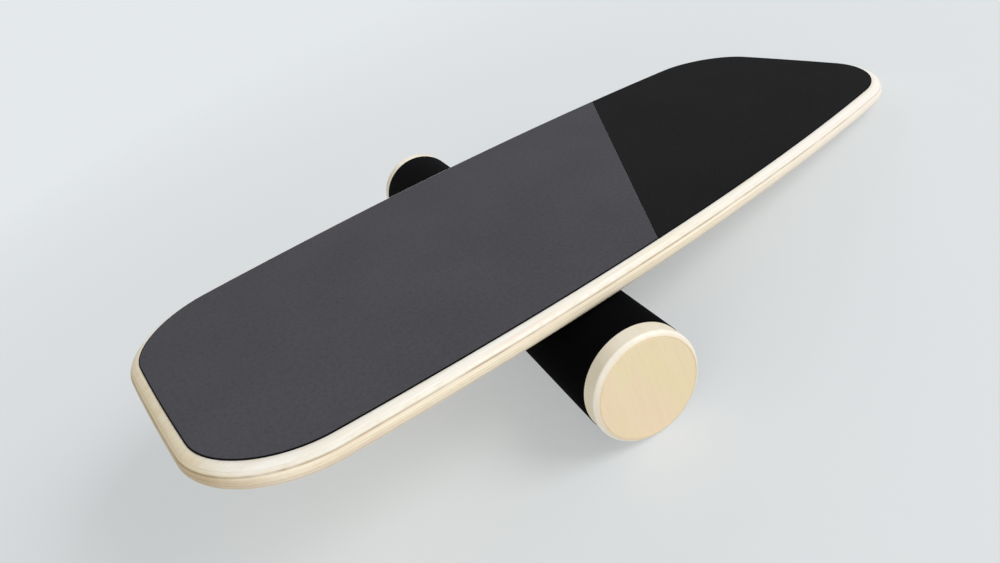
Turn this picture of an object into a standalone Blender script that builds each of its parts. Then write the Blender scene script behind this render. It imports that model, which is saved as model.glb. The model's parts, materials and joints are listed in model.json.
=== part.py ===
# Surf balance board: a flat wooden deck with a two-tone grip top, which rocks and travels on a
# loose roller between two stoppers bolted under it. Metres, +Z up.
# The roller lies on the floor along Y. The deck lies across it and leans until its +X end touches
# the floor, as it does when nobody stands on it. The origin is under the middle of the whole thing.

from math import acos, atan2, cos, degrees, hypot, pi, radians, sin, sqrt

import bmesh
import bpy
from mathutils import Matrix, Vector

# Deck, seen from above: long side along X
DECK_LENGTH = 0.749
DECK_WIDTH = 0.280  # across the middle, where it is widest
DECK_THICKNESS = 0.0172  # the wood alone
SIDE_BOW = 0.0216  # how far each long side has drawn in at the ends
END_BOW = 0.0029  # how far each short side has drawn back at the corners
CORNER_RADIUS = 0.0758
EDGE_RADIUS = 0.0084  # rounding along the deck's upper and lower edge

# Grip sheets stuck on top of the deck
GRIP_INSET = 0.0086  # bare wood left along the rim
GRIP_THICKNESS = 0.0007
GRIP_SPLIT_X = 0.0762  # where the joint between the two sheets crosses the deck's middle line
GRIP_SPLIT_ANGLE = radians(39.3)  # how far that joint is turned from straight across
GLUE_LINE = 0.0001

# Stoppers: two bars bolted across the underside, each in one of three rows of threaded inserts
STOPPER_LENGTH = 0.200
STOPPER_WIDTH = 0.024
STOPPER_HEIGHT = 0.015
STOPPER_EDGE_RADIUS = 0.003
FIRST_ROW = 0.170  # from the middle of the deck to the innermost row
ROW_PITCH = 0.045
ROW_COUNT = 3
STOPPER_ROW = 0  # row that the stoppers are bolted into, 0 is the innermost
BOLT_SPACING = 0.140  # between the two bolts of a stopper

# Bolts, washers and threaded inserts
BOLT_DIAMETER = 0.006
BOLT_CHAMFER = 0.0006
BOLT_ENGAGEMENT = 0.010  # length of the bolt inside its insert
HEAD_DIAMETER = 0.0105
HEAD_HEIGHT = 0.0045
HEAD_EDGE = 0.0008
SOCKET_ACROSS_FLATS = 0.004
SOCKET_DEPTH = 0.0025
HEAD_RECESS = 0.0008  # how deep the head sits below the stopper's face
WASHER_DIAMETER = 0.012
WASHER_THICKNESS = 0.0012
INSERT_DIAMETER = 0.010
INSERT_LENGTH = 0.012
FLANGE_DIAMETER = 0.014
FLANGE_THICKNESS = 0.0012
INSERT_CHAMFER = 0.0004

# Roller: a tube in a grippy cover, closed by a turned wooden cap at each end
ROLLER_DIAMETER = 0.0826  # over the cover
COVER_LENGTH = 0.4145
COVER_WALL = 0.002
COVER_EDGE = 0.0006
CORE_WALL = 0.005
CAP_DIAMETER = 0.0816
CAP_THICKNESS = 0.0138
CAP_EDGE_RADIUS = 0.0035
SPIGOT_LENGTH = 0.018
SPIGOT_CHAMFER = 0.001

# Where the roller lies under the deck
ROLLER_X = -0.0642  # along the deck, from its middle
ROLLER_Y = 0.0374  # along the roller, from the deck's middle line to the roller's middle
ROLLER_SKEW = radians(14.2)  # how far the roller is turned from straight across the deck

GAP = 0.0003  # between pieces that touch
BOLT_CLEARANCE = 0.0003  # round a shank in its hole
RECESS_CLEARANCE = 0.0006  # round a washer in its counterbore
EDGE_SHARE = 0.49  # the most of a wall's thickness that a rounded edge takes
ROUND_END_SHARE = 0.999  # of a stopper's half width: its ends are round but for a sliver

# Number of straight steps that stand for each curve
CORNER_STEPS = 12
SIDE_STEPS = 12
END_STEPS = 4
EDGE_STEPS = 4
STOPPER_EDGE_STEPS = 3
STOPPER_END_STEPS = 5
CAP_RIM_STEPS = 4
ROLLER_STEPS = 64
FASTENER_STEPS = 16
INSERT_STEPS = 12

ROLLER_RADIUS = ROLLER_DIAMETER / 2
CORE_RADIUS = ROLLER_RADIUS - COVER_WALL - GAP
BORE_RADIUS = CORE_RADIUS - CORE_WALL
DECK_EDGE = min(EDGE_RADIUS, EDGE_SHARE * DECK_THICKNESS)
STOPPER_EDGE = min(STOPPER_EDGE_RADIUS, EDGE_SHARE * STOPPER_WIDTH)
SEAT_DEPTH = WASHER_THICKNESS + HEAD_HEIGHT + HEAD_RECESS + 2 * GAP


def linear(red, green, blue):
    # Turns a colour read off a screen, 0 to 255, into the linear values that a material takes
    steps = [value / 255 for value in (red, green, blue)]
    return [v / 12.92 if v <= 0.04045 else ((v + 0.055) / 1.055) ** 2.4 for v in steps]


def material(name, colour, roughness, metallic=0.0):
    made = bpy.data.materials.new(name)
    made.use_nodes = True
    shader = made.node_tree.nodes["Principled BSDF"]
    shader.inputs["Base Color"].default_value = (*linear(*colour), 1)
    shader.inputs["Roughness"].default_value = roughness
    shader.inputs["Metallic"].default_value = metallic
    return made


def place(name, mesh, finish, parent, location=(0, 0, 0), rotation=(0, 0, 0)):
    made = bpy.data.objects.new(name, mesh)
    bpy.context.collection.objects.link(made)
    made.parent = parent
    made.location = location
    made.rotation_euler = rotation
    if finish and not mesh.materials:
        mesh.materials.append(finish)
    return made


def frame(name, matrix):
    made = bpy.data.objects.new(name, None)
    bpy.context.collection.objects.link(made)
    made.matrix_world = matrix
    return made


def mesh_of(bm, name, smooth_below=radians(40)):
    bmesh.ops.remove_doubles(bm, verts=bm.verts[:], dist=1e-6)
    bmesh.ops.recalc_face_normals(bm, faces=bm.faces[:])
    mesh = bpy.data.meshes.new(name)
    bm.to_mesh(mesh)
    bm.free()
    mesh.shade_smooth()
    mesh.set_sharp_from_angle(angle=smooth_below)
    return mesh


def turned(bm, profile, steps, closed, centre=(0, 0)):
    # Spins a profile of (radius, z) points round a line along Z. The facets lie on the true circle,
    # with one of them square to each axis.
    half_step = pi / steps
    out = 1 / cos(half_step)
    ring = []
    for radius, z in profile:
        x = centre[0] + radius * out * cos(half_step)
        y = centre[1] + radius * out * sin(half_step)
        ring.append(bm.verts.new((x, y, z)))
    pairs = zip(ring, ring[1:] + ring[:1]) if closed else zip(ring, ring[1:])
    edges = [bm.edges.new(pair) for pair in pairs]
    middle = (*centre, 0)
    bmesh.ops.spin(
        bm, geom=ring + edges, axis=(0, 0, 1), cent=middle, angle=2 * pi, steps=steps
    )
    return bm


def lofted(bm, rings):
    # Joins a stack of equal rings, lowest first, and closes it at both ends
    made = [[bm.verts.new(point) for point in ring] for ring in rings]
    bm.faces.new(made[0])
    bm.faces.new(made[-1])
    for lower, upper in zip(made, made[1:]):
        for i in range(len(lower)):
            j = (i + 1) % len(lower)
            bm.faces.new((lower[i], lower[j], upper[j], upper[i]))
    return bm


def rounded_rectangle(half_x, half_y, radius, corner_steps, side_steps=1, end_steps=1):
    # Points of a rectangle with round corners, anticlockwise. Its sides are split into even steps.
    corners = []
    for turn, (sign_x, sign_y) in enumerate(((1, 1), (-1, 1), (-1, -1), (1, -1))):
        centre = Vector((sign_x * (half_x - radius), sign_y * (half_y - radius)))
        angles = [pi / 2 * (turn + k / corner_steps) for k in range(corner_steps + 1)]
        corners.append([centre + radius * Vector((cos(a), sin(a))) for a in angles])
    points = []
    for turn, corner in enumerate(corners):
        following = corners[(turn + 1) % 4][0]
        count = side_steps if turn % 2 == 0 else end_steps
        points += corner
        points += [corner[-1].lerp(following, k / count) for k in range(1, count)]
    return points


def deck_outline(inset):
    # The deck's outline drawn in by an inset: long sides and ends bow outwards, corners are round
    half_x = DECK_LENGTH / 2 - inset
    half_y = DECK_WIDTH / 2 - inset
    points = rounded_rectangle(
        half_x, half_y, CORNER_RADIUS - inset, CORNER_STEPS, SIDE_STEPS, END_STEPS
    )
    return [
        (
            x * (1 - END_BOW / half_x * (y / half_y) ** 2),
            y * (1 - SIDE_BOW / half_y * (x / half_x) ** 2),
        )
        for x, y in points
    ]


def deck_levels():
    # (inset, height) from the underside to the top, with both edges rounded over
    arc = [pi / 2 * k / EDGE_STEPS for k in range(EDGE_STEPS + 1)]
    lower = [(DECK_EDGE * (1 - sin(a)), DECK_EDGE * (1 - cos(a))) for a in arc]
    upper = [(inset, DECK_THICKNESS - height) for inset, height in reversed(lower)]
    return lower + upper


def reach(inset, side):
    # How far the outline reaches from the roller's axis, square to it, towards one end of the deck
    along = [
        (x - ROLLER_X) * cos(ROLLER_SKEW) - y * sin(ROLLER_SKEW) for x, y in deck_outline(inset)
    ]
    return max(side * distance for distance in along)


def lean(side):
    # The tilt at which that end of the deck first touches the floor
    angles = []
    for inset, height in deck_levels():
        above = ROLLER_RADIUS + GAP + height
        away = reach(inset, side)
        angles.append(acos(-ROLLER_RADIUS / hypot(above, away)) - atan2(away, above))
    return min(angles)


def tilt_range():
    # From one end on the floor to the other, in degrees
    return degrees(lean(1) + lean(-1))


def travel(side):
    # How far the roller can run towards one end before its cover meets that end's stopper: the
    # cover first touches the bar's eased lower edge, at the start of its round end
    row = FIRST_ROW + STOPPER_ROW * ROW_PITCH
    bar_edge = (row - side * ROLLER_X) * cos(ROLLER_SKEW)
    bar_edge -= (STOPPER_LENGTH - STOPPER_WIDTH) / 2 * sin(ROLLER_SKEW) + STOPPER_WIDTH / 2
    eased = ROLLER_RADIUS + STOPPER_EDGE
    return bar_edge - sqrt(eased**2 - (eased - STOPPER_HEIGHT) ** 2) + STOPPER_EDGE - 2 * GAP


def insert_places():
    # Name and place of every threaded insert: three rows towards each end, two inserts in a row
    for end, sign in (("left", -1), ("right", 1)):
        for row in range(ROW_COUNT):
            x = sign * (FIRST_ROW + row * ROW_PITCH)
            for side, y in (("near", -BOLT_SPACING / 2), ("far", BOLT_SPACING / 2)):
                yield f"{end}_{row + 1}_{side}", x, y


def cutter(bm, name, parent, location=(0, 0, 0)):
    made = place(name, mesh_of(bm, name), None, parent, location)
    made.hide_render = True
    made.display_type = "WIRE"
    return made


def cut(target, tool):
    boolean = target.modifiers.new(tool.name, "BOOLEAN")
    boolean.operation = "DIFFERENCE"
    boolean.solver = "EXACT"
    boolean.object = tool


def make_deck(parent, finish):
    rings = [[(x, y, z) for x, y in deck_outline(inset)] for inset, z in deck_levels()]
    deck = place("deck", mesh_of(lofted(bmesh.new(), rings), "deck", radians(30)), finish, parent)
    flange = FLANGE_DIAMETER / 2 + GAP
    barrel = INSERT_DIAMETER / 2 + GAP
    floor = INSERT_LENGTH + GAP
    shoulder = FLANGE_THICKNESS + GAP
    below = -EDGE_RADIUS / 2
    pocket = [(0, below), (flange, below), (flange, shoulder)]
    pocket += [(barrel, shoulder), (barrel, floor), (0, floor)]
    bm = bmesh.new()
    for _, x, y in insert_places():
        turned(bm, pocket, INSERT_STEPS, False, (x, y))
    cut(deck, cutter(bm, "insert_pockets", parent))


def make_grip(name, parent, finish, side):
    # One sheet of the grip: the whole outline, cut back to one side of the slanting joint
    low = DECK_THICKNESS + GLUE_LINE
    outline = deck_outline(GRIP_INSET)
    rings = [[(x, y, z) for x, y in outline] for z in (low, low + GRIP_THICKNESS)]
    bm = lofted(bmesh.new(), rings)
    across = Vector((cos(GRIP_SPLIT_ANGLE), -sin(GRIP_SPLIT_ANGLE), 0))
    joint = Vector((GRIP_SPLIT_X, 0, 0)) + across * side * GAP / 2
    whole = bm.verts[:] + bm.edges[:] + bm.faces[:]
    halved = bmesh.ops.bisect_plane(
        bm, geom=whole, dist=1e-7, plane_co=joint, plane_no=across * -side, clear_outer=True
    )
    edges = [item for item in halved["geom_cut"] if isinstance(item, bmesh.types.BMEdge)]
    bmesh.ops.holes_fill(bm, edges=edges)
    place(name, mesh_of(bm, name, radians(30)), finish, parent)


def make_insert_mesh():
    bore = BOLT_DIAMETER / 2 + BOLT_CLEARANCE
    barrel = INSERT_DIAMETER / 2
    flange = FLANGE_DIAMETER / 2
    profile = [
        (bore + INSERT_CHAMFER, 0),
        (flange, 0),
        (flange, FLANGE_THICKNESS),
        (barrel, FLANGE_THICKNESS),
        (barrel, INSERT_LENGTH),
        (bore, INSERT_LENGTH),
        (bore, INSERT_CHAMFER),
    ]
    return mesh_of(turned(bmesh.new(), profile, INSERT_STEPS, True), "threaded_insert")


def make_stopper(name, parent, finish, x):
    # A bar with round ends and eased lower edges, and a counterbored hole for each bolt
    arc = [pi / 2 * k / STOPPER_EDGE_STEPS for k in range(STOPPER_EDGE_STEPS + 1)]
    levels = [(STOPPER_EDGE * (1 - sin(a)), STOPPER_EDGE * (1 - cos(a)) - STOPPER_HEIGHT) for a in arc]
    levels.append((0, 0))
    half_x = STOPPER_WIDTH / 2
    half_y = STOPPER_LENGTH / 2
    rings = []
    for inset, z in levels:
        round_end = ROUND_END_SHARE * (half_x - inset)
        ring = rounded_rectangle(half_x - inset, half_y - inset, round_end, STOPPER_END_STEPS)
        rings.append([(px, py, z) for px, py in ring])
    bar = place(name, mesh_of(lofted(bmesh.new(), rings), name), finish, parent, (x, 0, -GAP))
    hole = BOLT_DIAMETER / 2 + BOLT_CLEARANCE
    seat = WASHER_DIAMETER / 2 + RECESS_CLEARANCE
    seat_z = SEAT_DEPTH - STOPPER_HEIGHT
    below = -STOPPER_HEIGHT - STOPPER_EDGE
    above = STOPPER_EDGE
    profile = [(0, below), (seat, below), (seat, seat_z), (hole, seat_z), (hole, above), (0, above)]
    bm = bmesh.new()
    for y in (-BOLT_SPACING / 2, BOLT_SPACING / 2):
        turned(bm, profile, FASTENER_STEPS, False, (0, y))
    cut(bar, cutter(bm, f"{name}_holes", parent, (x, 0, -GAP)))


def make_washer_mesh():
    inner = BOLT_DIAMETER / 2 + BOLT_CLEARANCE
    outer = WASHER_DIAMETER / 2
    profile = [(inner, -WASHER_THICKNESS), (outer, -WASHER_THICKNESS), (outer, 0), (inner, 0)]
    return mesh_of(turned(bmesh.new(), profile, FASTENER_STEPS, True), "washer")


def make_bolt_mesh():
    # Head down, shank up, its origin under the head. The hexagon socket is cut from below.
    web = STOPPER_HEIGHT - SEAT_DEPTH
    shank = 2 * GAP + WASHER_THICKNESS + web + GAP + BOLT_ENGAGEMENT
    radius = BOLT_DIAMETER / 2
    head = HEAD_DIAMETER / 2
    profile = [
        (0, shank),
        (radius - BOLT_CHAMFER, shank),
        (radius, shank - BOLT_CHAMFER),
        (radius, 0),
        (head, 0),
        (head, HEAD_EDGE - HEAD_HEIGHT),
        (head - HEAD_EDGE, -HEAD_HEIGHT),
        (0, -HEAD_HEIGHT),
    ]
    turning = mesh_of(turned(bmesh.new(), profile, FASTENER_STEPS, False), "bolt_blank")
    blank = place("bolt_blank", turning, None, None)
    flat = SOCKET_ACROSS_FLATS / 2
    below = -HEAD_HEIGHT - HEAD_EDGE
    bottom = SOCKET_DEPTH - HEAD_HEIGHT
    socket = [(0, below), (flat, below), (flat, bottom), (0, bottom)]
    key = cutter(turned(bmesh.new(), socket, 6, False), "hexagon_key", None)
    cut(blank, key)
    seen = blank.evaluated_get(bpy.context.evaluated_depsgraph_get())
    mesh = bpy.data.meshes.new_from_object(seen)
    bpy.data.objects.remove(blank)
    bpy.data.objects.remove(key)
    return mesh


def make_stopper_set(end, sign, parent, finishes, washer_mesh, bolt_mesh):
    x = sign * (FIRST_ROW + STOPPER_ROW * ROW_PITCH)
    make_stopper(f"stopper_{end}", parent, finishes["stopper"], x)
    seat_z = -GAP - STOPPER_HEIGHT + SEAT_DEPTH
    for side, y in (("near", -BOLT_SPACING / 2), ("far", BOLT_SPACING / 2)):
        where = f"{end}_{side}"
        place(f"stopper_washer_{where}", washer_mesh, finishes["washer"], parent, (x, y, seat_z - GAP))
        under_head = seat_z - 2 * GAP - WASHER_THICKNESS
        place(f"stopper_bolt_{where}", bolt_mesh, finishes["bolt"], parent, (x, y, under_head))


def make_roller(parent, finishes):
    half = COVER_LENGTH / 2
    inner = ROLLER_RADIUS - COVER_WALL
    edge = min(COVER_EDGE, EDGE_SHARE * COVER_WALL)
    cover = [
        (inner, -half),
        (ROLLER_RADIUS - edge, -half),
        (ROLLER_RADIUS, edge - half),
        (ROLLER_RADIUS, half - edge),
        (ROLLER_RADIUS - edge, half),
        (inner, half),
    ]
    core = [(BORE_RADIUS, -half), (CORE_RADIUS, -half), (CORE_RADIUS, half), (BORE_RADIUS, half)]
    for name, profile in (("roller_cover", cover), ("roller_core_tube", core)):
        mesh = mesh_of(turned(bmesh.new(), profile, ROLLER_STEPS, True), name)
        place(name, mesh, finishes[name], parent, rotation=(-pi / 2, 0, 0))
    mesh = make_cap_mesh()
    seat = half + GAP
    place("end_cap_far", mesh, finishes["end_cap"], parent, (0, seat, 0), (-pi / 2, 0, 0))
    place("end_cap_near", mesh, finishes["end_cap"], parent, (0, -seat, 0), (pi / 2, 0, 0))


def make_cap_mesh():
    # A turned disc with a rounded rim, and the spigot that plugs it into the tube
    radius = CAP_DIAMETER / 2
    spigot = BORE_RADIUS - GAP
    rim = min(CAP_EDGE_RADIUS, EDGE_SHARE * CAP_THICKNESS)
    arc = [pi / 2 * k / CAP_RIM_STEPS for k in range(CAP_RIM_STEPS + 1)]
    rounding = [(radius - rim * (1 - cos(a)), CAP_THICKNESS - rim * (1 - sin(a))) for a in arc]
    profile = [
        (0, -SPIGOT_LENGTH),
        (spigot - SPIGOT_CHAMFER, -SPIGOT_LENGTH),
        (spigot, SPIGOT_CHAMFER - SPIGOT_LENGTH),
        (spigot, 0),
        (radius, 0),
        *rounding,
        (0, CAP_THICKNESS),
    ]
    return mesh_of(turned(bmesh.new(), profile, ROLLER_STEPS, False), "end_cap")


def stand_on_origin(frames):
    # Moves everything so that the origin lies at floor level under the middle of the whole outline
    bpy.context.view_layer.update()
    graph = bpy.context.evaluated_depsgraph_get()
    points = []
    for item in bpy.context.scene.objects:
        if item.type == "MESH" and not item.hide_render:
            seen = item.evaluated_get(graph)
            points += [item.matrix_world @ vertex.co for vertex in seen.data.vertices]
    low = [min(point[axis] for point in points) for axis in range(3)]
    high = [max(point[axis] for point in points) for axis in range(3)]
    shift = Vector((-(low[0] + high[0]) / 2, -(low[1] + high[1]) / 2, -low[2]))
    for item in frames:
        item.matrix_world = Matrix.Translation(shift) @ item.matrix_world
    bpy.context.view_layer.update()


def build():
    for item in list(bpy.data.objects):
        bpy.data.objects.remove(item, do_unlink=True)

    wood = material("birch_ply", (243, 234, 212), 0.45)
    finishes = {
        "stopper": material("stopper_wood", (226, 206, 168), 0.5),
        "washer": material("zinc_washer", (190, 192, 195), 0.35, 1.0),
        "bolt": material("black_bolt", (52, 52, 54), 0.4, 1.0),
        "insert": material("zinc_insert", (176, 172, 160), 0.4, 1.0),
        "roller_cover": material("cover_black", (13, 13, 15), 0.75),
        "roller_core_tube": material("tube_grey", (150, 150, 148), 0.5),
        "end_cap": material("cap_wood", (235, 220, 190), 0.5),
        "grip_main": material("grip_grey", (78, 77, 82), 0.9),
        "grip_nose": material("grip_black", (38, 38, 39), 0.9),
    }

    # The roller lies along Y. The deck's frame sits in the middle of its underside: turned by the
    # skew, set down on the roller and tilted with it about the roller's axis.
    axis_height = Matrix.Translation((0, 0, ROLLER_RADIUS))
    roller = frame("roller_axis", axis_height)
    beside_middle = Matrix.Translation((0, -ROLLER_Y, 0))
    tilt = Matrix.Rotation(lean(1), 4, "Y")
    on_top = Matrix.Translation((0, 0, ROLLER_RADIUS + GAP))
    turn = Matrix.Rotation(ROLLER_SKEW, 4, "Z")
    from_roller = Matrix.Translation((-ROLLER_X, 0, 0))
    deck = frame("deck_underside", axis_height @ beside_middle @ tilt @ on_top @ turn @ from_roller)

    make_roller(roller, finishes)
    make_deck(deck, wood)
    make_grip("grip_main", deck, finishes["grip_main"], -1)
    make_grip("grip_nose", deck, finishes["grip_nose"], 1)
    insert_mesh = make_insert_mesh()
    for where, x, y in insert_places():
        place(f"insert_{where}", insert_mesh, finishes["insert"], deck, (x, y, 0))
    washer_mesh = make_washer_mesh()
    bolt_mesh = make_bolt_mesh()
    for end, sign in (("left", -1), ("right", 1)):
        make_stopper_set(end, sign, deck, finishes, washer_mesh, bolt_mesh)
    stand_on_origin((roller, deck))
    print(f"The deck leans {degrees(lean(1)):.2f} degrees and tilts by {tilt_range():.2f} in all.")
    print(f"The roller runs {1000 * travel(1):.1f} mm right and {1000 * travel(-1):.1f} mm left.")


build()
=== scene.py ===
import json
from math import atan2, cos, pi, radians, sin

import bmesh
import bpy
from mathutils import Matrix, Vector


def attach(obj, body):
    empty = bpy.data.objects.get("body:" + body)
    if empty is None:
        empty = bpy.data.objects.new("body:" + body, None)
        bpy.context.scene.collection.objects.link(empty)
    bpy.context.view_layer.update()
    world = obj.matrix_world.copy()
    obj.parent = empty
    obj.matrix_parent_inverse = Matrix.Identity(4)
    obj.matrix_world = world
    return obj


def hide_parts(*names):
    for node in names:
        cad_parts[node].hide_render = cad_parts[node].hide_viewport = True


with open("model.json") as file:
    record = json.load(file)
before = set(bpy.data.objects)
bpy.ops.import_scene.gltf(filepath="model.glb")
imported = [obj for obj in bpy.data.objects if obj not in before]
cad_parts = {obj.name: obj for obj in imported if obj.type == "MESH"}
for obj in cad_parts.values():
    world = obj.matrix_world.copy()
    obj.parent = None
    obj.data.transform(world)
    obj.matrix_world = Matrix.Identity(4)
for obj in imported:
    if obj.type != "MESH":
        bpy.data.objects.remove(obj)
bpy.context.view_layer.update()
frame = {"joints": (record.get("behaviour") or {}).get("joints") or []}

# Where the roller lies under the deck. The joints give its axis and how far the deck leans.
layout = {
    "rollerAlong": -0.0642,  # along the deck, from its middle
    "rollerAcross": 0.0374,  # along the roller, from the deck's middle line to the roller's middle
    "skew": radians(14.2),
    "rollerRadius": 0.0413,
    "gap": 0.0003,
    "glueLine": 0.0001,
    "ease": radians(0.022),  # turned back by this, so that the fine rounding stays off the floor
}
joints = {joint["name"]: joint for joint in frame["joints"]}
rollerAxis = Vector(joints["board_tilt"]["pos_m"])
slideWay = Vector(joints["board_travel"]["axis"])
deckPlace = (
    Matrix.Translation(rollerAxis - Vector((0, layout["rollerAcross"], 0)))
    @ Matrix.Rotation(atan2(-slideWay.z, slideWay.x) - layout["ease"], 4, "Y")
    @ Matrix.Translation((0, 0, layout["rollerRadius"] + layout["gap"]))
    @ Matrix.Rotation(layout["skew"], 4, "Z")
    @ Matrix.Translation((-layout["rollerAlong"], 0, 0))
)
rollerPlace = Matrix.Translation(rollerAxis) @ Matrix.Rotation(-pi / 2, 4, "X")
print("frame loaded, deck at", [round(value, 4) for value in deckPlace.translation])


# Colours are written as they look on a screen, 0 to 255
def screenColour(red, green, blue):
    steps = [value / 255 for value in (red, green, blue)]
    return (*[v / 12.92 if v <= 0.04045 else ((v + 0.055) / 1.055) ** 2.4 for v in steps], 1)


# Modelling helpers
def clearSelection():
    if bpy.context.object and bpy.context.object.mode != "OBJECT":
        bpy.ops.object.mode_set(mode="OBJECT")
    bpy.ops.object.select_all(action="DESELECT")


def startEdit(piece):
    clearSelection()
    piece.select_set(True)
    bpy.context.view_layer.objects.active = piece
    bpy.ops.object.mode_set(mode="EDIT")


def pick(piece, kind, test):
    # Selects the vertices, edges or faces that pass the test, and nothing else
    bpy.ops.mesh.select_mode(type=kind)
    bpy.ops.mesh.select_all(action="DESELECT")
    shape = bmesh.from_edit_mesh(piece.data)
    shape.normal_update()
    found = {"VERT": shape.verts, "EDGE": shape.edges, "FACE": shape.faces}[kind]
    for item in found:
        item.select_set(test(item))
    shape.select_flush_mode()
    bmesh.update_edit_mesh(piece.data)


def level(*heights, reach=1e-6):
    # A test for what lies flat at one of the heights
    def flat(item, height):
        return all(abs(vertex.co.z - height) < reach for vertex in item.verts)

    return lambda item: any(flat(item, height) for height in heights)


def longerThan(reach, axis):
    # A test for edges that go further than the reach along the axis
    return lambda edge: abs(edge.verts[0].co[axis] - edge.verts[1].co[axis]) > reach


def radiiOf(item):
    return [vertex.co.xy.length for vertex in item.verts]


def roundOff(radius, segments, profile=0.5):
    # Rounds the picked edges
    bpy.ops.mesh.bevel(offset=radius, segments=segments, profile=profile, affect="EDGES")


def pushOut(height):
    bpy.ops.mesh.extrude_region_move(TRANSFORM_OT_translate={"value": (0, 0, height)})


def evenNormals():
    bpy.ops.mesh.select_all(action="SELECT")
    bpy.ops.mesh.normals_make_consistent(inside=False)


def applyModifier(piece, kind, **settings):
    clearSelection()
    piece.select_set(True)
    bpy.context.view_layer.objects.active = piece
    added = piece.modifiers.new(kind.lower(), kind)
    for key, value in settings.items():
        setattr(added, key, value)
    bpy.ops.object.modifier_apply(modifier=added.name)


def cutAway(piece, tool):
    applyModifier(piece, "BOOLEAN", operation="DIFFERENCE", solver="EXACT", object=tool)
    bpy.data.objects.remove(tool)


def joined(parts):
    clearSelection()
    for part in parts:
        part.select_set(True)
    bpy.context.view_layer.objects.active = parts[0]
    if len(parts) > 1:
        bpy.ops.object.join()
    return parts[0]


def named(name):
    # Names the primitive just added, with its place and turn taken into its mesh
    piece = bpy.context.object
    piece.name = name
    piece.data.name = name
    bpy.ops.object.transform_apply(location=True, rotation=True, scale=True)
    return piece


def smoothed(piece, angle=30):
    clearSelection()
    piece.select_set(True)
    bpy.context.view_layer.objects.active = piece
    bpy.ops.object.shade_smooth_by_angle(angle=radians(angle))
    return piece


def settled(piece, place, body, slotName, nodes, *finishes):
    # Takes the place into the mesh, gives the finish, puts the piece on its body and hides the parts
    # it stands for
    piece.data.transform(place)
    piece.data.update()
    piece.data.materials.clear()
    for finish in finishes:
        piece.data.materials.append(finish)
    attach(piece, body)
    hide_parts(*nodes)
    return piece


def copied(piece, name):
    twin = piece.copy()
    twin.data = piece.data.copy()
    twin.name = name
    twin.data.name = name
    bpy.context.collection.objects.link(twin)
    return twin


# Material helpers
def newFinish(name):
    finish = bpy.data.materials.new(name)
    finish.use_nodes = True
    tree = finish.node_tree
    return finish, tree, tree.nodes["Principled BSDF"]


def node(tree, kind, inputs=None, **settings):
    made = tree.nodes.new(kind)
    for key, value in settings.items():
        setattr(made, key, value)
    for key, value in (inputs or {}).items():
        if isinstance(value, bpy.types.NodeSocket):
            tree.links.new(value, made.inputs[key])
        else:
            made.inputs[key].default_value = value
    return made


def inPlaceOf(tree, place):
    # Object coordinates, turned and centred so that they read as the piece's own
    back = place.inverted()
    coordinates = node(tree, "ShaderNodeTexCoord").outputs["Object"]
    turn = {
        "Vector": coordinates,
        "Location": tuple(back.translation),
        "Rotation": tuple(back.to_euler("XYZ")),
    }
    return node(tree, "ShaderNodeMapping", turn).outputs["Vector"]


def noise(tree, vector, scale, detail=3.0, roughness=0.5, distortion=0.0):
    inputs = {
        "Vector": vector,
        "Scale": scale,
        "Detail": detail,
        "Roughness": roughness,
        "Distortion": distortion,
    }
    return node(tree, "ShaderNodeTexNoise", inputs).outputs["Fac"]


def pattern(tree, vector, name, settings):
    # The named noise of a finish, which has a scale of its own along each axis
    scale, *rest = settings[name]
    turn = {"Vector": vector, "Scale": scale}
    stretched = node(tree, "ShaderNodeMapping", turn).outputs["Vector"]
    return noise(tree, stretched, 1.0, *rest)


def ranged(tree, value, fromLow, fromHigh, toLow, toHigh):
    inputs = {
        "Value": value,
        "From Min": fromLow,
        "From Max": fromHigh,
        "To Min": toLow,
        "To Max": toHigh,
    }
    return node(tree, "ShaderNodeMapRange", inputs).outputs["Result"]


def calculated(tree, operation, *values):
    made = node(tree, "ShaderNodeMath", operation=operation)
    for slotNumber, value in enumerate(values):
        if isinstance(value, bpy.types.NodeSocket):
            tree.links.new(value, made.inputs[slotNumber])
        else:
            made.inputs[slotNumber].default_value = value
    return made.outputs[0]


def mixed(tree, factor, first, second, blend="MIX"):
    made = node(tree, "ShaderNodeMix", data_type="RGBA", blend_type=blend)
    for slotNumber, value in ((0, factor), (6, first), (7, second)):
        if isinstance(value, bpy.types.NodeSocket):
            tree.links.new(value, made.inputs[slotNumber])
        else:
            made.inputs[slotNumber].default_value = value
    return made.outputs[2]


def bands(tree, value, stops, interpolation="LINEAR"):
    ramp = node(tree, "ShaderNodeValToRGB", {"Fac": value})
    ramp.color_ramp.interpolation = interpolation
    elements = ramp.color_ramp.elements
    while len(elements) < len(stops):
        elements.new(0.5)
    for element, (position, colour) in zip(elements, stops):
        element.position = position
        element.color = colour
    return ramp.outputs["Color"]


def bumped(tree, shader, heights, depths):
    # Stacks bumps with their depths in metres, the coarsest first
    before = None
    for height, depth in zip(heights, depths):
        bump = node(tree, "ShaderNodeBump", {"Height": height, "Distance": depth, "Strength": 1.0})
        if before:
            tree.links.new(before, bump.inputs["Normal"])
        before = bump.outputs["Normal"]
    tree.links.new(before, shader.inputs["Normal"])


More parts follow.
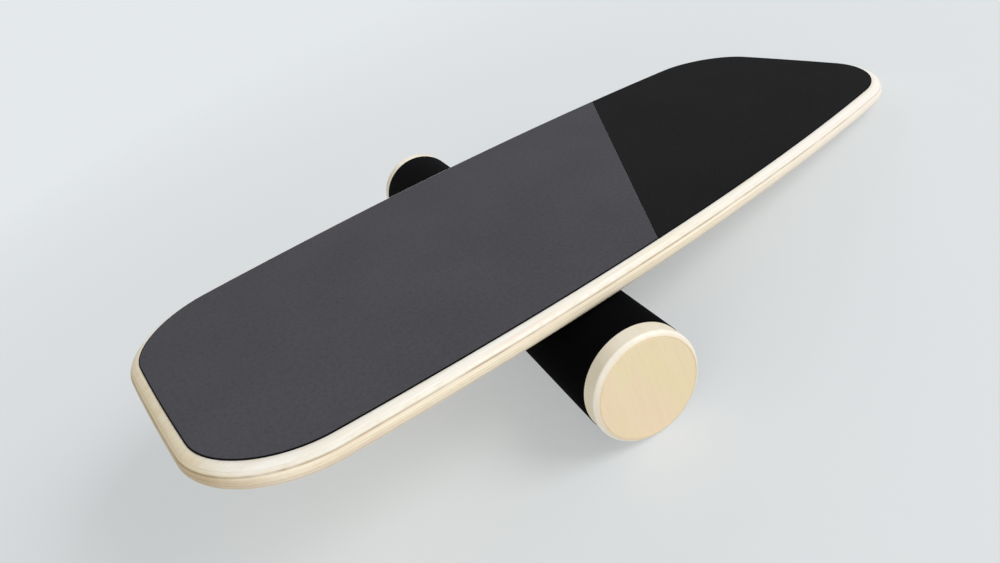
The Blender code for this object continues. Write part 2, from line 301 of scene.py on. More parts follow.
# The deck: laminated board with bowed sides, round corners and fully rounded edges
deck = {
    "length": 0.749,
    "width": 0.280,
    "thickness": 0.0172,
    "drawnIn": 0.00035,  # keeps the fine corners inside the plainer solid
    "sideBow": 0.0216,
    "endBow": 0.0029,
    "cornerRadius": 0.0758,
    "edgeRadius": 0.0084,
    "cornerSegments": 24,
    "sideCuts": 47,
    "endCuts": 15,
    "edgeSegments": 10,
    "smoothBelow": 25,  # degrees between faces
}
underRows = {"first": 0.170, "pitch": 0.045, "count": 3, "spacing": 0.140, "stopperRow": 0}
insert = {
    "diameter": 0.010,
    "length": 0.012,
    "flangeDiameter": 0.014,
    "flangeThickness": 0.0012,
    "bore": 0.0066,
    "chamfer": 0.0004,
    "segments": 48,
    "edgeSegments": 2,
}


def addOutline(name, inset, height):
    # A flat sheet in the deck's outline, drawn in by the inset
    halfX = deck["length"] / 2 - inset
    halfY = deck["width"] / 2 - inset
    clearSelection()
    bpy.ops.mesh.primitive_plane_add(size=1, location=(0, 0, height))
    sheet = named(name)
    startEdit(sheet)
    bpy.ops.mesh.select_all(action="SELECT")
    bpy.ops.transform.resize(value=(2 * halfX, 2 * halfY, 1))
    bpy.ops.mesh.bevel(
        offset=deck["cornerRadius"] - inset,
        segments=deck["cornerSegments"],
        affect="VERTICES",
    )
    bpy.ops.mesh.select_all(action="SELECT")
    bpy.ops.mesh.delete(type="ONLY_FACE")  # else the cuts along the sides would split the face
    for axis, cuts in ((0, deck["sideCuts"]), (1, deck["endCuts"])):
        pick(sheet, "EDGE", longerThan(deck["cornerRadius"], axis))
        bpy.ops.mesh.subdivide(number_cuts=cuts)
    bpy.ops.mesh.select_all(action="SELECT")
    bpy.ops.mesh.edge_face_add()
    bpy.ops.object.mode_set(mode="OBJECT")
    for vertex in sheet.data.vertices:
        x, y = vertex.co.x, vertex.co.y
        vertex.co.x = x * (1 - deck["endBow"] / halfX * (y / halfY) ** 2)
        vertex.co.y = y * (1 - deck["sideBow"] / halfY * (x / halfX) ** 2)
    return sheet


def raiseSheet(sheet, thickness):
    startEdit(sheet)
    bpy.ops.mesh.select_all(action="SELECT")
    pushOut(thickness)
    evenNormals()


def insertPlaces():
    for end, sign in (("left", -1), ("right", 1)):
        for row in range(underRows["count"]):
            x = sign * (underRows["first"] + row * underRows["pitch"])
            for side, y in (("near", -underRows["spacing"] / 2), ("far", underRows["spacing"] / 2)):
                yield f"{end}_{row + 1}_{side}", x, y


def addPin(name, radius, low, high, x, y, segments):
    clearSelection()
    bpy.ops.mesh.primitive_cylinder_add(
        vertices=segments, radius=radius, depth=high - low, location=(x, y, (low + high) / 2)
    )
    return named(name)


def makeDeck(finish):
    board = addOutline("deckBoard", deck["drawnIn"], 0)
    raiseSheet(board, deck["thickness"])
    for height in (0, deck["thickness"]):
        pick(board, "EDGE", level(height))
        roundOff(deck["edgeRadius"], deck["edgeSegments"])
    bpy.ops.object.mode_set(mode="OBJECT")
    gap = layout["gap"]
    below = -deck["edgeRadius"]
    for radius, depth in (
        (insert["flangeDiameter"] / 2 + gap, insert["flangeThickness"] + gap),
        (insert["diameter"] / 2 + gap, insert["length"] + gap),
    ):
        pins = [
            addPin(f"pocket_{where}", radius, below, depth, x, y, insert["segments"])
            for where, x, y in insertPlaces()
        ]
        cutAway(board, joined(pins))
    smoothed(board, deck["smoothBelow"])
    return settled(board, deckPlace, "board", "deck_wood", ["deck"], finish)


# The grip: two thin sheets stuck on the deck, which meet at a slanting joint
grip = {
    "inset": 0.0086,
    "thickness": 0.0007,
    "splitAlong": 0.0762,
    "splitAngle": radians(39.3),
    # rim: the width of the dark band round a sheet's top, painted shade along its edge
    "rim": 0.0008,
    "edgeRadius": 0.0002,
    "edgeSegments": 3,
    "topArea": 0.001,  # square metres: of all the faces only a sheet's top is larger
}


def makeGrip(name, cadNode, slotName, side, finish, edgeShadeFinish):
    low = deck["thickness"] + layout["glueLine"]
    sheet = addOutline(name, grip["inset"], low)
    across = Vector((cos(grip["splitAngle"]), -sin(grip["splitAngle"]), 0))
    joint = Vector((grip["splitAlong"], 0, low)) + across * side * layout["gap"] / 2
    startEdit(sheet)
    bpy.ops.mesh.select_all(action="SELECT")
    bpy.ops.mesh.bisect(plane_co=joint, plane_no=across * -side, clear_outer=True, use_fill=False)
    raiseSheet(sheet, grip["thickness"])
    high = low + grip["thickness"]
    pick(sheet, "EDGE", level(high))
    roundOff(grip["edgeRadius"], grip["edgeSegments"])
    pick(sheet, "FACE", lambda face: level(high)(face) and face.calc_area() > grip["topArea"])
    bpy.ops.mesh.inset(thickness=grip["rim"] - grip["edgeRadius"], depth=0, use_even_offset=True)
    bpy.ops.object.mode_set(mode="OBJECT")
    smoothed(sheet)
    settled(sheet, Matrix.Identity(4), "board", slotName, [cadNode], finish, edgeShadeFinish)
    # The sheet's sides and the band round its top take the dark finish, as painted shade along the
    # edge; the joint keeps the sheet's own finish
    for face in sheet.data.polygons:
        atJoint = abs((face.center - joint).dot(across)) < 2 * grip["rim"]
        face.material_index = 0 if face.area > grip["topArea"] or atJoint else 1
    sheet.data.transform(deckPlace)
    sheet.data.update()
    return sheet


# Threaded inserts, sunk in the underside
def makeInserts(finish):
    clearSelection()
    bpy.ops.mesh.primitive_cylinder_add(
        vertices=insert["segments"],
        radius=insert["flangeDiameter"] / 2,
        depth=insert["flangeThickness"],
        location=(0, 0, insert["flangeThickness"] / 2),
    )
    sleeve = named("insertPattern")
    startEdit(sleeve)
    pick(sleeve, "FACE", level(insert["flangeThickness"]))
    bpy.ops.mesh.inset(thickness=(insert["flangeDiameter"] - insert["diameter"]) / 2, depth=0)
    pushOut(insert["length"] - insert["flangeThickness"])
    for height in (0, insert["length"]):
        pick(sleeve, "EDGE", level(height))
        roundOff(insert["chamfer"] / 2, insert["edgeSegments"])
    bpy.ops.object.mode_set(mode="OBJECT")
    length, radius = insert["length"], insert["bore"] / 2
    cutAway(sleeve, addPin("bore", radius, -length, 2 * length, 0, 0, insert["segments"]))
    startEdit(sleeve)
    mouth = radius + layout["gap"]
    pick(sleeve, "EDGE", lambda edge: level(0)(edge) and max(radiiOf(edge)) < mouth)
    roundOff(insert["chamfer"], insert["edgeSegments"])
    bpy.ops.object.mode_set(mode="OBJECT")
    smoothed(sleeve)
    for where, x, y in insertPlaces():
        twin = copied(sleeve, f"threadedInsert_{where}")
        place = deckPlace @ Matrix.Translation((x, y, 0))
        settled(twin, place, "board", "insert_zinc", [f"insert_{where}"], finish)
    bpy.data.objects.remove(sleeve)


# Stoppers, each with two bolts and washers sunk in counterbores
stopper = {
    "length": 0.200,
    "width": 0.024,
    "height": 0.015,
    "edgeRadius": 0.003,
    "endShare": 0.99,  # just short of half round, which leaves no slivers for the bores to fail on
    "endSegments": 16,
    "edgeSegments": 6,
    "smoothBelow": 25,
    "seatDepth": 0.0071,
    "holeDiameter": 0.0066,
    "seatDiameter": 0.0132,
}
fastener = {
    "shankDiameter": 0.006,
    "tipChamfer": 0.0006,
    "engagement": 0.010,
    "headDiameter": 0.0105,
    "headHeight": 0.0045,
    "headEdge": 0.0008,
    "socketFlats": 0.004,
    "socketDepth": 0.0025,
    "washerDiameter": 0.012,
    "washerThickness": 0.0012,
    "washerEdgeShare": 0.12,  # of its thickness
    "segments": 64,
    "headSegments": 4,
    "washerSegments": 2,
}


def makeStopper(end, sign, finish):
    clearSelection()
    bpy.ops.mesh.primitive_cube_add(size=1, location=(0, 0, -stopper["height"] / 2))
    bar = named(f"stopperBar_{end}")
    startEdit(bar)
    bpy.ops.mesh.select_all(action="SELECT")
    bpy.ops.transform.resize(value=(stopper["width"], stopper["length"], stopper["height"]))
    pick(bar, "EDGE", longerThan(stopper["height"] / 2, 2))
    roundOff(stopper["width"] / 2 * stopper["endShare"], stopper["endSegments"])
    pick(bar, "EDGE", level(-stopper["height"]))
    roundOff(stopper["edgeRadius"], stopper["edgeSegments"])
    bpy.ops.object.mode_set(mode="OBJECT")
    seat = stopper["seatDepth"] - stopper["height"]
    for diameter, low, high in (
        (stopper["seatDiameter"], -2 * stopper["height"], seat),
        (stopper["holeDiameter"], -2 * stopper["height"], stopper["height"]),
    ):
        pins = [
            addPin("hole", diameter / 2, low, high, 0, y, fastener["segments"])
            for y in (-underRows["spacing"] / 2, underRows["spacing"] / 2)
        ]
        cutAway(bar, joined(pins))
    smoothed(bar, stopper["smoothBelow"])
    x = sign * (underRows["first"] + underRows["stopperRow"] * underRows["pitch"])
    place = deckPlace @ Matrix.Translation((x, 0, -layout["gap"]))
    return settled(bar, place, "board", "stopper_wood", [f"stopper_{end}"], finish)


def makeWasher(name):
    outer = fastener["washerDiameter"] / 2
    thickness = fastener["washerThickness"]
    ring = addPin(name, outer, -thickness, 0, 0, 0, fastener["segments"])
    hole = stopper["holeDiameter"] / 2
    cutAway(ring, addPin("hole", hole, -2 * thickness, thickness, 0, 0, fastener["segments"]))
    startEdit(ring)
    pick(ring, "EDGE", level(0, -thickness))
    roundOff(thickness * fastener["washerEdgeShare"], fastener["washerSegments"])
    bpy.ops.object.mode_set(mode="OBJECT")
    return smoothed(ring)


def makeBolt(name):
    # Head down, shank up, its origin under the head
    gap = layout["gap"]
    web = stopper["height"] - stopper["seatDepth"]
    shank = 3 * gap + fastener["washerThickness"] + web + fastener["engagement"]
    head = fastener["headDiameter"] / 2
    height = fastener["headHeight"]
    bolt = addPin(name, head, -height, 0, 0, 0, fastener["segments"])
    startEdit(bolt)
    pick(bolt, "FACE", level(0))
    bpy.ops.mesh.inset(thickness=head - fastener["shankDiameter"] / 2, depth=0)
    pushOut(shank)
    pick(bolt, "EDGE", level(shank))
    roundOff(fastener["tipChamfer"], 1)
    pick(bolt, "EDGE", level(-height))
    roundOff(fastener["headEdge"], fastener["headSegments"])
    bpy.ops.object.mode_set(mode="OBJECT")
    corner = fastener["socketFlats"] / 2 / cos(pi / 6)  # a hexagon measured across its flats
    depth = fastener["socketDepth"]
    cutAway(bolt, addPin("key", corner, -2 * height, depth - height, 0, 0, 6))
    return smoothed(bolt)


def makeFasteners(end, sign, washerPattern, boltPattern, washerFinish, boltFinish):
    x = sign * (underRows["first"] + underRows["stopperRow"] * underRows["pitch"])
    gap = layout["gap"]
    seat = -gap - stopper["height"] + stopper["seatDepth"]
    underHead = seat - 2 * gap - fastener["washerThickness"]
    for side, y in (("near", -underRows["spacing"] / 2), ("far", underRows["spacing"] / 2)):
        where = f"{end}_{side}"
        washer = copied(washerPattern, f"stopperWasher_{where}")
        place = deckPlace @ Matrix.Translation((x, y, seat - gap))
        settled(washer, place, "board", "washer_zinc", [f"stopper_washer_{where}"], washerFinish)
        bolt = copied(boltPattern, f"stopperBolt_{where}")
        place = deckPlace @ Matrix.Translation((x, y, underHead))
        settled(bolt, place, "board", "bolt_black", [f"stopper_bolt_{where}"], boltFinish)


# The roller: cover, tube and turned end caps. Here it stands upright on its own axis.
roller = {
    "coverLength": 0.4145,
    "coverWall": 0.002,
    "coverEdge": 0.0006,
    "coreWall": 0.005,
    "coreEdge": 0.0004,
    "capDiameter": 0.0816,
    "capThickness": 0.0138,
    "capEdgeRadius": 0.0035,
    "capEdgeProfile": 0.4,  # flatter than a full rounding, which is 0.5
    "capBackEdge": 0.0005,
    "grooveWidth": 0.0006,  # fine groove where the rounded rim meets the face
    "grooveDepth": 0.00022,
    "spigotLength": 0.018,
    "spigotChamfer": 0.001,
    "segments": 160,
    "tubeEdgeSegments": 4,
    "capEdgeSegments": 10,
    "capBackSegments": 3,
    "capSmoothBelow": 13,
}


def makeTube(name, outer, wall, edge):
    half = roller["coverLength"] / 2
    tube = addPin(name, outer, -half, half, 0, 0, roller["segments"])
    startEdit(tube)
    pick(tube, "FACE", level(half, -half))
    bpy.ops.mesh.inset(thickness=wall, depth=0)
    bpy.ops.mesh.bridge_edge_loops()
    middle = outer - wall / 2
    pick(tube, "EDGE", lambda rim: level(half, -half)(rim) and min(radiiOf(rim)) > middle)
    roundOff(edge, roller["tubeEdgeSegments"])
    evenNormals()
    bpy.ops.object.mode_set(mode="OBJECT")
    return smoothed(tube)


def makeCover(finish):
    tube = makeTube("rollerCover", layout["rollerRadius"], roller["coverWall"], roller["coverEdge"])
    settled(tube, rollerPlace, "roller", "cover_black", ["roller_cover"], finish)


def makeCore(finish):
    outer = layout["rollerRadius"] - roller["coverWall"] - layout["gap"]
    tube = makeTube("coreTube", outer, roller["coreWall"], roller["coreEdge"])
    settled(tube, rollerPlace, "tilt_core", "tube_grey", ["roller_core_tube"], finish)


def makeCaps(finish):
    # Made with its seat against the tube at zero, its face above and its spigot below
    radius = roller["capDiameter"] / 2
    core = layout["rollerRadius"] - roller["coverWall"] - layout["gap"]
    spigot = core - roller["coreWall"] - layout["gap"]
    cap = addPin("capPattern", radius, 0, roller["capThickness"], 0, 0, roller["segments"])
    startEdit(cap)
    pick(cap, "EDGE", level(roller["capThickness"]))
    roundOff(roller["capEdgeRadius"], roller["capEdgeSegments"], roller["capEdgeProfile"])
    groove = roller["grooveWidth"] / 2
    pick(cap, "FACE", level(roller["capThickness"]))
    bpy.ops.mesh.inset(thickness=groove, depth=-roller["grooveDepth"])
    bpy.ops.mesh.inset(thickness=groove, depth=roller["grooveDepth"])
    pick(cap, "EDGE", level(0))
    roundOff(roller["capBackEdge"], roller["capBackSegments"])
    pick(cap, "FACE", level(0))
    bpy.ops.mesh.inset(thickness=radius - roller["capBackEdge"] - spigot, depth=0)
    pushOut(-roller["spigotLength"])
    pick(cap, "EDGE", level(-roller["spigotLength"]))
    roundOff(roller["spigotChamfer"], 1)
    bpy.ops.object.mode_set(mode="OBJECT")
    smoothed(cap, roller["capSmoothBelow"])
    seat = roller["coverLength"] / 2 + layout["gap"]
    for end, turn in (("far", 0), ("near", pi)):
        twin = copied(cap, f"endCap_{end}")
        place = rollerPlace @ Matrix.Rotation(turn, 4, "X") @ Matrix.Translation((0, 0, seat))
        settled(twin, place, "roller", "cap_wood", [f"end_cap_{end}"], finish)
    bpy.data.objects.remove(cap)


# Finishes, from the coarsest pattern to the finest. A pattern is given by its scale along each axis
# (or by one scale for all), then its detail, roughness and distortion. A share is given by the two
# heights of the pattern between which it changes, then from how much to how much.
plywood = {
    # Each ply, from the underside: where it starts, its tone, how dark the glue line under it is
    "plies": (
        (0.0, screenColour(252, 241, 215), 0.0),
        (0.135, screenColour(248, 235, 207), 0.25),
        (0.27, screenColour(254, 246, 225), 0.35),
        (0.41, screenColour(249, 237, 211), 0.22),
        (0.555, screenColour(254, 245, 223), 0.3),
        (0.735, screenColour(243, 239, 227), 0.85),
        (0.875, screenColour(250, 247, 239), 0.08),
    ),
    "waver": ((7, 7, 0), 2.0),
    "waverShare": (0.2, 0.8, -0.00022, 0.00022),
    "streaks": ((5, 5, 520), 3.0, 0.55, 0.2),  # soft, and round the edge
    "pinkStreak": screenColour(232, 208, 184),
    "pinkShare": (0.5, 0.72, 0.0, 0.7),
    "yellowStreak": screenColour(243, 227, 184),
    "yellowShare": (0.3, 0.46, 0.6, 0.0),
    "grainAlong": ((5, 150, 150), 5.0, 0.6, 0.4),  # the grain turns from ply to ply
    "grainAcross": ((150, 5, 150), 5.0, 0.6, 0.4),
    "grain": screenColour(222, 203, 168),
    "grainShare": (0.42, 0.72, 0.0, 0.34),
    "fibres": ((26, 1300, 1300), 2.0),
    "fibreShare": (0.5, 0.8, 0.0, 0.2),
    "glue": screenColour(182, 162, 132),
    "glueWidth": (0.006, 0.018),  # half a line's share of the deck, and what a dark one has more
    "glueUneven": ((26, 26, 0), 3.0, 0.6),
    "unevenShare": (0.35, 0.6, 0.45, 1.0),
    "glueFading": (0.0, 1.0, 1.0, 0.4),  # towards the pale end
    "knife": screenColour(112, 92, 68),  # short dark nicks along the glue lines
    "nicks": ((90, 90, 500), 2.0),
    "nickShare": (0.62, 0.72, 0.0, 0.6),
    # Painted shade: towards the left end the veneers are darker and yellower, the lower ones most.
    # Painted light: towards the right end they are paler.
    "leftShadeTop": screenColour(235, 225, 198),
    "leftShadeTopReach": (-0.35, -0.372),
    "leftShadeLow": screenColour(191, 175, 146),
    "leftShadeLowReach": (-0.33, -0.374),
    "leftShadeSeam": 0.01,
    "paintedLightEnd": screenColour(252, 246, 241),
    "paintedLightReach": (-0.02, 0.3),
    "paintedLightShare": 0.6,
    "roughness": (0.3, 0.7, 0.36, 0.48),
    "depths": (0.00004, 0.00004, 0.000015),  # of glue lines, grain and fibres
}


def makeDeckWood():
    finish, tree, shader = newFinish("deckPly")
    own = inPlaceOf(tree, deckPlace)
    parts = node(tree, "ShaderNodeSeparateXYZ", {"Vector": own}).outputs
    waver = ranged(tree, pattern(tree, own, "waver", plywood), *plywood["waverShare"])
    height = calculated(tree, "ADD", parts["Z"], waver)
    share = calculated(tree, "DIVIDE", height, deck["thickness"])
    tones = [(low, tone) for low, tone, dark in plywood["plies"]]
    colour = bands(tree, share, tones, "CONSTANT")

    streaks = pattern(tree, own, "streaks", plywood)
    pink = ranged(tree, streaks, *plywood["pinkShare"])
    colour = mixed(tree, pink, colour, plywood["pinkStreak"])
    yellow = ranged(tree, streaks, *plywood["yellowShare"])
    colour = mixed(tree, yellow, colour, plywood["yellowStreak"])
    along = pattern(tree, own, "grainAlong", plywood)
    across = pattern(tree, own, "grainAcross", plywood)
    turns = [(ply[0], (index % 2,) * 3 + (1,)) for index, ply in enumerate(plywood["plies"])]
    grain = mixed(tree, bands(tree, share, turns, "CONSTANT"), along, across)
    colour = mixed(tree, ranged(tree, grain, *plywood["grainShare"]), colour, plywood["grain"])
    fibres = pattern(tree, own, "fibres", plywood)
    colour = mixed(tree, ranged(tree, fibres, *plywood["fibreShare"]), colour, plywood["grain"])

    # Painted light: the colour turns paler towards the right end
    paintedLight = ranged(tree, parts["X"], *plywood["paintedLightReach"], 0.0, plywood["paintedLightShare"])
    colour = mixed(tree, paintedLight, colour, plywood["paintedLightEnd"])

    # Glue lines, the darker the wider, and fainter towards the right end under the painted light
    shades = []
    for low, tone, dark in plywood["plies"][1:]:
        half = plywood["glueWidth"][0] + plywood["glueWidth"][1] * dark
        for reach, strength in ((-2 * half, 0), (-half, dark), (half, dark), (2 * half, 0)):
            shades.append((low + reach, (strength,) * 3 + (1,)))
    line = bands(tree, share, shades)
    uneven = pattern(tree, own, "glueUneven", plywood)
    line = calculated(tree, "MULTIPLY", line, ranged(tree, uneven, *plywood["unevenShare"]))
    line = calculated(tree, "MULTIPLY", line, ranged(tree, paintedLight, *plywood["glueFading"]))
    nicks = ranged(tree, pattern(tree, own, "nicks", plywood), *plywood["nickShare"])
    colour = mixed(tree, line, colour, mixed(tree, nicks, plywood["glue"], plywood["knife"]))

    widest = plywood["plies"][-2][0]  # above this glue line lie the two top plies
    # Painted shade at the left end: the plies above the widest glue line, and more darkly those
    # below it, are multiplied by a darker, yellower tone
    for tone, low, high in (("leftShadeTop", 0.0, 1.0), ("leftShadeLow", 1.0, 0.0)):
        there = ranged(tree, share, widest - plywood["leftShadeSeam"], widest, low, high)
        leftShade = ranged(tree, parts["X"], *plywood[f"{tone}Reach"], 0.0, 1.0)
        leftShade = calculated(tree, "MULTIPLY", there, leftShade)
        colour = mixed(tree, leftShade, colour, plywood[tone], "MULTIPLY")
    tree.links.new(colour, shader.inputs["Base Color"])
    tree.links.new(ranged(tree, grain, *plywood["roughness"]), shader.inputs["Roughness"])
    shader.inputs["Specular IOR Level"].default_value = 0.35
    shader.inputs["Coat Weight"].default_value = 0.1
    shader.inputs["Coat Roughness"].default_value = 0.35
    groove = calculated(tree, "SUBTRACT", 1.0, line)
    bumped(tree, shader, (groove, grain, fibres), plywood["depths"])
    return finish


capWood = {
    "face": screenColour(239, 223, 181),
    "pinkish": screenColour(242, 220, 189),
    "clouds": ((24, 24, 14), 3.0, 0.5, 0.5),
    "pinkishShare": (0.35, 0.65, 0.0, 1.0),
    # The rim is painted lighter, brightest at its outer edge: a painted highlight
    "rimHighlightInner": screenColour(243, 231, 208),
    "rim": screenColour(255, 251, 241),
    "rimHighlightReach": (0.0006, 0.003),  # from the face outwards, where the rim gets brighter
    "rimHighlightStart": (-0.0002, 0.0003),  # round the edge of the face
    "side": screenColour(239, 229, 205),
    "sideStart": (-0.00025, -0.00005),  # round the cap's own radius
    "edgeShare": 0.85,
    "grain": screenColour(218, 196, 154),
    "grainLines": ((330, 60, 16), 4.0, 0.55, 0.3),
    "grainShare": (0.46, 0.76, 0.0, 0.17),
    "pores": screenColour(200, 172, 132),
    "fibres": ((2400, 900, 70), 2.0),
    "fibreShare": (0.54, 0.8, 0.0, 0.16),
    "grooveShadeShare": (0.0001, 0.0005, 0.4, 0.0),
    "turningPitch": 0.0009,
    "roughness": (0.3, 0.7, 0.38, 0.5),
    "depths": (0.00004, 0.000015, 0.000002),  # of grain, fibres and turning marks
}


def makeCapWood():
    finish, tree, shader = newFinish("turnedCapWood")
    own = inPlaceOf(tree, Matrix.Translation(rollerAxis))
    parts = node(tree, "ShaderNodeSeparateXYZ", {"Vector": own}).outputs
    squares = [calculated(tree, "POWER", parts[axis], 2.0) for axis in ("X", "Z")]
    radius = calculated(tree, "SQRT", calculated(tree, "ADD", *squares))
    clouds = ranged(tree, pattern(tree, own, "clouds", capWood), *capWood["pinkishShare"])
    colour = mixed(tree, clouds, capWood["face"], capWood["pinkish"])

    outer = roller["capDiameter"] / 2
    inner = outer - roller["capEdgeRadius"]
    # Painted highlight: the rim's tone brightens from the face towards its outer edge
    brighter = ranged(tree, radius, *[inner + reach for reach in capWood["rimHighlightReach"]], 0.0, 1.0)
    rim = mixed(tree, brighter, capWood["rimHighlightInner"], capWood["rim"])
    for start, reach, tone in ((inner, "rimHighlightStart", rim), (outer, "sideStart", capWood["side"])):
        low, high = [start + value for value in capWood[reach]]
        there = ranged(tree, radius, low, high, 0.0, capWood["edgeShare"])
        colour = mixed(tree, there, colour, tone)

    grain = pattern(tree, own, "grainLines", capWood)
    fibres = pattern(tree, own, "fibres", capWood)
    colour = mixed(tree, ranged(tree, grain, *capWood["grainShare"]), colour, capWood["grain"])
    colour = mixed(tree, ranged(tree, fibres, *capWood["fibreShare"]), colour, capWood["pores"])
    # Painted shade: the wood darkens in and beside the groove between the rim and the face
    fromGroove = calculated(tree, "ABSOLUTE", calculated(tree, "SUBTRACT", radius, inner))
    grooveShade = ranged(tree, fromGroove, *capWood["grooveShadeShare"])
    colour = mixed(tree, grooveShade, colour, capWood["pores"])
    tree.links.new(colour, shader.inputs["Base Color"])
    tree.links.new(ranged(tree, grain, *capWood["roughness"]), shader.inputs["Roughness"])
    shader.inputs["Coat Weight"].default_value = 0.15
    shader.inputs["Coat Roughness"].default_value = 0.35
    turning = calculated(tree, "MULTIPLY", radius, 2 * pi / capWood["turningPitch"])
    bumped(tree, shader, (grain, fibres, calculated(tree, "SINE", turning)), capWood["depths"])
    return finish


stopperWood = {
    "pale": screenColour(231, 212, 176),
    "grain": screenColour(208, 180, 136),
    "grainLines": ((170, 6, 170), 5.0, 0.6, 0.5),
    "grainShare": (0.35, 0.7, 0.0, 1.0),
    "pores": screenColour(178, 146, 102),
    "fibres": ((1500, 30, 1500), 2.0),
    "fibreShare": (0.45, 0.8, 0.0, 0.35),
    "roughness": (0.3, 0.7, 0.42, 0.56),
    "depths": (0.00008, 0.00003),
}


def makeStopperWood():
    finish, tree, shader = newFinish("stopperWood")
    own = inPlaceOf(tree, deckPlace)
    grain = pattern(tree, own, "grainLines", stopperWood)
    fibres = pattern(tree, own, "fibres", stopperWood)
    shade = ranged(tree, grain, *stopperWood["grainShare"])
    colour = mixed(tree, shade, stopperWood["pale"], stopperWood["grain"])
    pores = ranged(tree, fibres, *stopperWood["fibreShare"])
    colour = mixed(tree, pores, colour, stopperWood["pores"])
    tree.links.new(colour, shader.inputs["Base Color"])
    tree.links.new(ranged(tree, grain, *stopperWood["roughness"]), shader.inputs["Roughness"])
    bumped(tree, shader, (grain, fibres), stopperWood["depths"])
    return finish


# Fine grit bonded to a sheet. Each grip finish: its tone, its lighter and its darker grains, and how
# much of them shows.
gripTones = {
    "gripGrey": (
        screenColour(79, 78, 83),
        screenColour(94, 93, 98),
        screenColour(60, 59, 64),
        0.45,
    ),
    "gripBlack": (
        screenColour(27, 27, 28),
        screenColour(37, 37, 38),
        screenColour(16, 16, 17),
        0.4,
    ),
    # The third finish is painted shade: the dark edge of each sheet
    "gripEdgeShade": (
        screenColour(14, 14, 15),
        screenColour(20, 20, 21),
        screenColour(9, 9, 10),
        0.2,
    ),
}
grit = {
    "clouds": (14.0, 3.0, 0.5),
    "cloudShare": (0.3, 0.7, 0.0, 0.3),
    "mottle": (330.0, 2.0, 0.5),
    "mottleShare": (0.4, 0.7, 0.0, 0.3),
    "flecks": (620.0, 1.0),
    "fleckShare": (0.7, 0.78, 0.0, 0.6),
    "grains": 1300.0,
    "fine": (1500.0, 2.0, 0.6),
    "lightFrom": (0.55, 0.75),
    "darkFrom": (0.25, 0.42),
    "roughness": (0.3, 0.7, 0.84, 0.97),
    "depths": (0.00012, 0.0001),
}


def makeGripFinish(name):
    base, light, dark, speckle = gripTones[name]
    finish, tree, shader = newFinish(name)
    own = inPlaceOf(tree, deckPlace)
    clouds = noise(tree, own, *grit["clouds"])
    mottle = noise(tree, own, *grit["mottle"])
    fine = noise(tree, own, *grit["fine"])
    flecks = noise(tree, own, *grit["flecks"])
    voronoi = {"Vector": own, "Scale": grit["grains"]}
    grains = node(tree, "ShaderNodeTexVoronoi", voronoi).outputs["Distance"]
    colour = mixed(tree, ranged(tree, clouds, *grit["cloudShare"]), base, light)
    colour = mixed(tree, ranged(tree, mottle, *grit["mottleShare"]), colour, dark)
    colour = mixed(tree, ranged(tree, fine, *grit["lightFrom"], 0.0, speckle), colour, light)
    colour = mixed(tree, ranged(tree, fine, *grit["darkFrom"], speckle, 0.0), colour, dark)
    colour = mixed(tree, ranged(tree, flecks, *grit["fleckShare"]), colour, light)
    tree.links.new(colour, shader.inputs["Base Color"])
    tree.links.new(ranged(tree, fine, *grit["roughness"]), shader.inputs["Roughness"])
    shader.inputs["Specular IOR Level"].default_value = 0.05
    bumped(tree, shader, (grains, fine), grit["depths"])
    return finish


cover = {
    "base": screenColour(5, 5, 6),
    "cloud": screenColour(7, 7, 8),
    "clouds": (18.0, 3.0),
    "cloudShare": (0.3, 0.7, 0.0, 1.0),
    "grains": screenColour(13, 13, 14),
    "grit": (1100.0, 2.0, 0.6),
    "grainShare": (0.5, 0.75, 0.0, 0.5),
    "roughness": (0.3, 0.7, 0.78, 0.94),
    "depths": (0.0001,),
}


def makeCoverRubber():
    finish, tree, shader = newFinish("coverRubber")
    own = inPlaceOf(tree, Matrix.Translation(rollerAxis))
    fine = noise(tree, own, *cover["grit"])
    clouds = noise(tree, own, *cover["clouds"])
    shade = ranged(tree, clouds, *cover["cloudShare"])
    colour = mixed(tree, shade, cover["base"], cover["cloud"])
    colour = mixed(tree, ranged(tree, fine, *cover["grainShare"]), colour, cover["grains"])
    tree.links.new(colour, shader.inputs["Base Color"])
    tree.links.new(ranged(tree, fine, *cover["roughness"]), shader.inputs["Roughness"])
    shader.inputs["Specular IOR Level"].default_value = 0.02
    bumped(tree, shader, (fine,), cover["depths"])
    return finish


# Each metal: its tone, its stain and its roughness
metals = {
    "insertZinc": (screenColour(180, 176, 162), screenColour(164, 158, 140), 0.34),
    "washerZinc": (screenColour(192, 194, 197), screenColour(174, 177, 182), 0.3),
    "boltBlack": (screenColour(52, 52, 54), screenColour(40, 40, 43), 0.38),
}
metalWear = {
    "clouds": (220.0, 4.0, 0.6),
    "stainShare": (0.35, 0.7, 0.0, 1.0),
    "dullFrom": (0.3, 0.7),
    "smoother": 0.06,
    "rougher": 0.1,
    "fine": ((2500, 2500, 9000), 2.0),
    "depths": (0.00001,),
}


def makeMetal(name):
    base, stain, roughness = metals[name]
    finish, tree, shader = newFinish(name)
    own = inPlaceOf(tree, deckPlace)
    clouds = noise(tree, own, *metalWear["clouds"])
    fine = pattern(tree, own, "fine", metalWear)
    colour = mixed(tree, ranged(tree, clouds, *metalWear["stainShare"]), base, stain)
    tree.links.new(colour, shader.inputs["Base Color"])
    shader.inputs["Metallic"].default_value = 1.0
    low, high = roughness - metalWear["smoother"], roughness + metalWear["rougher"]
    dull = ranged(tree, clouds, *metalWear["dullFrom"], low, high)
    tree.links.new(dull, shader.inputs["Roughness"])
    bumped(tree, shader, (fine,), metalWear["depths"])
    return finish


